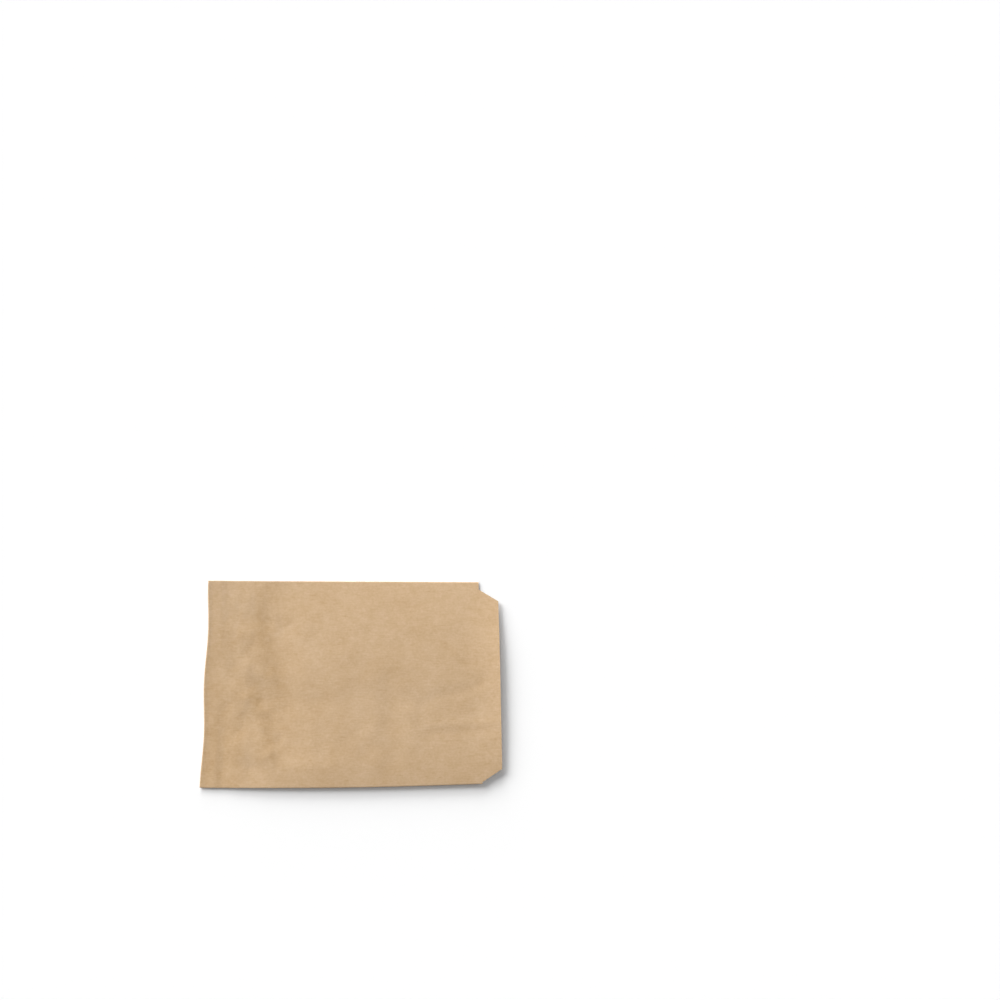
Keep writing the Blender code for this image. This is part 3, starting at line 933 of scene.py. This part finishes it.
@dataclass(frozen=True)
class KraftFinish:
    """Unbleached brown kraft paper: cloudy pulp, fibres along the web, matt surface.

    Contrasts, darknesses and the lightness are shares of the way from the dark colour to
    the light one. Scales are cycles a metre.
    """

    dark_colour: tuple[float, float, float] = (0.512, 0.336, 0.175)
    light_colour: tuple[float, float, float] = (0.652, 0.470, 0.300)
    cloud_contrast: float = 0.36
    tone_contrast: float = 0.26
    fine_contrast: float = 0.34
    fibre_contrast: float = 0.35
    fleck_darkness: float = 0.30
    fleck_range: tuple[float, float] = (0.66, 0.78)
    pasted_darkness: float = 0.22
    # Painted shade on the slopes of the soft steps by the pasted end.
    painted_step_shade: float = 0.32
    # Lightness of rubbed and pinched paper, and of the painted highlight along the folds.
    wear_and_highlight_lightness: float = 0.18
    cloud_scale: float = 130.0
    tone_scale: float = 24.0
    fine_scale: float = 520.0
    fibre_scale: float = 1100.0
    fibre_stretch: float = 7.0
    fleck_scale: float = 900.0
    cloud_detail: float = 3.0
    tone_detail: float = 2.0
    fine_detail: float = 3.0
    fibre_detail: float = 4.0
    fleck_detail: float = 1.0
    middle_tint: float = 0.5
    roughness: float = 0.80
    roughness_contrast: float = 0.10
    specular: float = 0.30
    bump_strength: float = 0.35
    bump_distance: float = 0.00006
    cloud_bump: float = 1.0

    def material(self) -> bpy.types.Material:
        """Build the paper's node material.

        Returns:
            A material on Object coordinates and the sheet's own attributes.
        """
        material = bpy.data.materials.new("kraft_paper_finish")
        material.use_nodes = True
        tree = material.node_tree
        nodes, links = tree.nodes, tree.links
        shader = nodes["Principled BSDF"]
        shader.inputs["Specular IOR Level"].default_value = self.specular
        coords = nodes.new("ShaderNodeTexCoord").outputs["Object"]

        stretched = nodes.new("ShaderNodeMapping")
        stretched.inputs["Scale"].default_value = (1.0 / self.fibre_stretch, 1.0, 1.0)
        links.new(coords, stretched.inputs["Vector"])

        clouds = self.noise(tree, coords, self.cloud_scale, self.cloud_detail)
        tones = self.noise(tree, coords, self.tone_scale, self.tone_detail)
        fine = self.noise(tree, coords, self.fine_scale, self.fine_detail)
        fibres = self.noise(tree, stretched.outputs["Vector"], self.fibre_scale, self.fibre_detail)
        effects = [
            self.scaled(tree, tones, self.tone_contrast),
            self.scaled(tree, fine, self.fine_contrast),
            self.scaled(tree, fibres, self.fibre_contrast),
            # Rubbed and pinched paper is lighter, and a highlight is painted along the folds.
            self.attribute_effect(tree, "wear_and_highlight", self.wear_and_highlight_lightness),
            self.attribute_effect(tree, "pasted", -self.pasted_darkness),
            # Painted shade: the slopes of the steps, which face away from the light, are darkened.
            self.attribute_effect(tree, "step_shade", -self.painted_step_shade),
            self.flecks(tree, stretched.outputs["Vector"]),
            self.middle_tint,
        ]
        share = self.scaled(tree, clouds, self.cloud_contrast)
        for effect in effects:
            share = math_node(tree, "ADD", share, effect)

        tint = nodes.new("ShaderNodeMix")
        tint.data_type = "RGBA"
        tint.clamp_factor = False
        tint.inputs[MIX_FIRST].default_value = (*self.dark_colour, 1.0)
        tint.inputs[MIX_SECOND].default_value = (*self.light_colour, 1.0)
        links.new(share, tint.inputs[MIX_FACTOR])
        links.new(tint.outputs[MIX_RESULT], shader.inputs["Base Color"])

        rough = self.scaled(tree, clouds, self.roughness_contrast)
        rough = math_node(tree, "ADD", rough, self.roughness)
        links.new(rough, shader.inputs["Roughness"])

        height = math_node(tree, "ADD", fibres, self.scaled(tree, clouds, self.cloud_bump))
        bump = nodes.new("ShaderNodeBump")
        bump.inputs["Strength"].default_value = self.bump_strength
        bump.inputs["Distance"].default_value = self.bump_distance
        links.new(height, bump.inputs["Height"])
        links.new(bump.outputs["Normal"], shader.inputs["Normal"])
        return material

    @staticmethod
    def noise(tree: bpy.types.ShaderNodeTree, coords: bpy.types.NodeSocket, scale: float,
              detail: float) -> bpy.types.NodeSocket:
        """Add a noise texture.

        Args:
            tree: the material's tree.
            coords: the coordinates that it reads.
            scale: cycles a metre.
            detail: how many finer octaves it adds.

        Returns:
            The socket of its value, from 0 to 1.
        """
        node = tree.nodes.new("ShaderNodeTexNoise")
        node.inputs["Scale"].default_value = scale
        node.inputs["Detail"].default_value = detail
        tree.links.new(coords, node.inputs["Vector"])
        return node.outputs["Fac"]

    @staticmethod
    def scaled(tree: bpy.types.ShaderNodeTree, value: bpy.types.NodeSocket,
               contrast: float) -> bpy.types.NodeSocket:
        """Centre a value on 0.

        Args:
            tree: the material's tree.
            value: a value from 0 to 1.
            contrast: what 1 turns into, as 0 turns into its negative.

        Returns:
            The socket of the result.
        """
        node = tree.nodes.new("ShaderNodeMapRange")
        node.inputs["To Min"].default_value = -contrast
        node.inputs["To Max"].default_value = contrast
        tree.links.new(value, node.inputs["Value"])
        return node.outputs["Result"]

    @staticmethod
    def attribute_effect(tree: bpy.types.ShaderNodeTree, name: str,
                         effect: float) -> bpy.types.NodeSocket:
        """Read a point attribute and scale it.

        Args:
            tree: the material's tree.
            name: the attribute, which runs from 0 to 1.
            effect: what 1 stands for.

        Returns:
            The socket of the scaled value.
        """
        read = tree.nodes.new("ShaderNodeAttribute")
        read.attribute_name = name
        return math_node(tree, "MULTIPLY", read.outputs["Fac"], effect)

    def flecks(self, tree: bpy.types.ShaderNodeTree,
               coords: bpy.types.NodeSocket) -> bpy.types.NodeSocket:
        """Sparse dark specks of bark and coarse fibre, as a change of brightness.

        Args:
            tree: the material's tree.
            coords: coordinates stretched along the web.

        Returns:
            The socket that holds the change, 0 or below.
        """
        node = tree.nodes.new("ShaderNodeMapRange")
        node.inputs["From Min"].default_value = self.fleck_range[0]
        node.inputs["From Max"].default_value = self.fleck_range[1]
        node.inputs["To Max"].default_value = -self.fleck_darkness
        specks = self.noise(tree, coords, self.fleck_scale, self.fleck_detail)
        tree.links.new(specks, node.inputs["Value"])
        return node.outputs["Result"]


@dataclass(frozen=True)
class Lamp:
    """A far soft light: its share of the plain light level, and where it stands.

    The compass angle is counted from +X towards +Y, and the soft angle is how wide
    the light looks from the bag.
    """

    name: str
    share: float
    compass: float
    elevation: float
    soft_angle: float

    def build(self) -> None:
        """Add the light, at the strength that gives its share on a level surface."""
        data = bpy.data.lights.new(self.name, "SUN")
        data.angle = math.radians(self.soft_angle)
        data.energy = math.pi * self.share / math.sin(math.radians(self.elevation))
        made = bpy.data.objects.new(self.name, data)
        turn_z = math.radians(self.compass + 90.0)
        made.rotation_euler = (math.radians(90.0 - self.elevation), 0.0, turn_z)
        bpy.context.scene.collection.objects.link(made)


@dataclass(frozen=True)
class Studio:
    """Pale floor, soft light and the camera.

    The camera looks at the target on the floor from a distance, tilted from straight down
    towards the azimuth, and rolled about its own axis.
    """

    floor_half: float = 4.0
    floor_drop: float = 0.00005
    floor_colour: tuple[float, float, float] = (0.98, 0.98, 0.98)
    floor_glow: float = 0.045
    world_strength: float = 0.22
    lamps: tuple[Lamp, ...] = (
        Lamp("key", 0.47, 143.0, 23.0, 34.0),
        Lamp("low", 0.22, 102.0, 12.0, 24.0),
        Lamp("fill", 0.07, 30.0, 60.0, 50.0),
    )
    lens: float = 50.4
    sensor_width: float = 36.0
    tilt: float = math.radians(17.155)
    azimuth: float = math.radians(-25.07)
    roll: float = math.radians(-1.285)
    target: tuple[float, float] = (0.13095, 0.16514)
    distance: float = 1.26732

    def add_floor(self) -> None:
        """Add the floor, white to the camera where nothing shades it."""
        data = bpy.data.meshes.new("floor")
        half, z = self.floor_half, -self.floor_drop
        corners = [(-half, -half, z), (half, -half, z), (half, half, z), (-half, half, z)]
        data.from_pydata(corners, [], [(0, 1, 2, 3)])
        floor = bpy.data.objects.new("floor", data)
        bpy.context.scene.collection.objects.link(floor)
        data.materials.append(self.floor_material())

    def floor_material(self) -> bpy.types.Material:
        """Build a matt white that glows a little for the camera only, so it keeps shadows.

        Returns:
            The floor's material.
        """
        material = bpy.data.materials.new("pale_floor")
        material.use_nodes = True
        tree = material.node_tree
        nodes, links = tree.nodes, tree.links
        nodes.clear()
        matt = nodes.new("ShaderNodeBsdfDiffuse")
        matt.inputs["Color"].default_value = (*self.floor_colour, 1.0)
        glow = nodes.new("ShaderNodeEmission")
        seen = nodes.new("ShaderNodeLightPath").outputs["Is Camera Ray"]
        both = nodes.new("ShaderNodeAddShader")
        out = nodes.new("ShaderNodeOutputMaterial")
        links.new(math_node(tree, "MULTIPLY", seen, self.floor_glow), glow.inputs["Strength"])
        links.new(matt.outputs[0], both.inputs[0])
        links.new(glow.outputs[0], both.inputs[1])
        links.new(both.outputs[0], out.inputs["Surface"])
        return material

    def add_world(self) -> None:
        """Add an even soft sky that is white to the camera."""
        world = bpy.data.worlds.new("studio")
        bpy.context.scene.world = world
        world.use_nodes = True
        nodes, links = world.node_tree.nodes, world.node_tree.links
        background = nodes["Background"]
        background.inputs["Color"].default_value = (1.0, 1.0, 1.0, 1.0)
        seen = nodes.new("ShaderNodeLightPath").outputs["Is Camera Ray"]
        strength = nodes.new("ShaderNodeMapRange")
        strength.inputs["To Min"].default_value = self.world_strength
        strength.inputs["To Max"].default_value = 1.0
        links.new(seen, strength.inputs["Value"])
        links.new(strength.outputs["Result"], background.inputs["Strength"])

    def add_camera(self) -> None:
        """Add the camera, which looks down on the bag from a little to its near side."""
        back = Vector((math.sin(self.tilt) * math.sin(self.azimuth),
                       -math.sin(self.tilt) * math.cos(self.azimuth), math.cos(self.tilt)))
        right = Vector((0.0, 1.0, 0.0)).cross(back).normalized()
        up = back.cross(right)
        turned_right = math.cos(self.roll) * right + math.sin(self.roll) * up
        turned_up = back.cross(turned_right)
        eye = Vector((*self.target, 0.0)) + self.distance * back
        data = bpy.data.cameras.new("camera")
        data.lens = self.lens
        data.sensor_width = self.sensor_width
        camera = bpy.data.objects.new("camera", data)
        bpy.context.scene.collection.objects.link(camera)
        turn = Matrix((turned_right, turned_up, back)).transposed().to_4x4()
        camera.matrix_world = Matrix.Translation(eye) @ turn
        bpy.context.scene.camera = camera

    def build(self) -> None:
        """Set up the whole studio."""
        self.add_floor()
        self.add_world()
        for lamp in self.lamps:
            lamp.build()
        self.add_camera()
        bpy.context.scene.view_settings.view_transform = "Standard"


def main() -> None:
    """Build the bag round the frame, then the studio, and log the bag's size."""
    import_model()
    low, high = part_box(BAG_NODE)
    sheet = FoldedSheet(total_length=high[0] - low[0], width=high[1] - low[1])
    bag = PaperBag(sheet).build(PaperCockle(), KraftFinish())
    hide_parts(BAG_NODE)
    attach(bag, BODY)
    LOG.info("%s: %d faces, %.1f mm long", bag.name, len(bag.data.polygons), sheet.total_length * 1000)
    Studio().build()


if __name__ == "__main__":
    main()
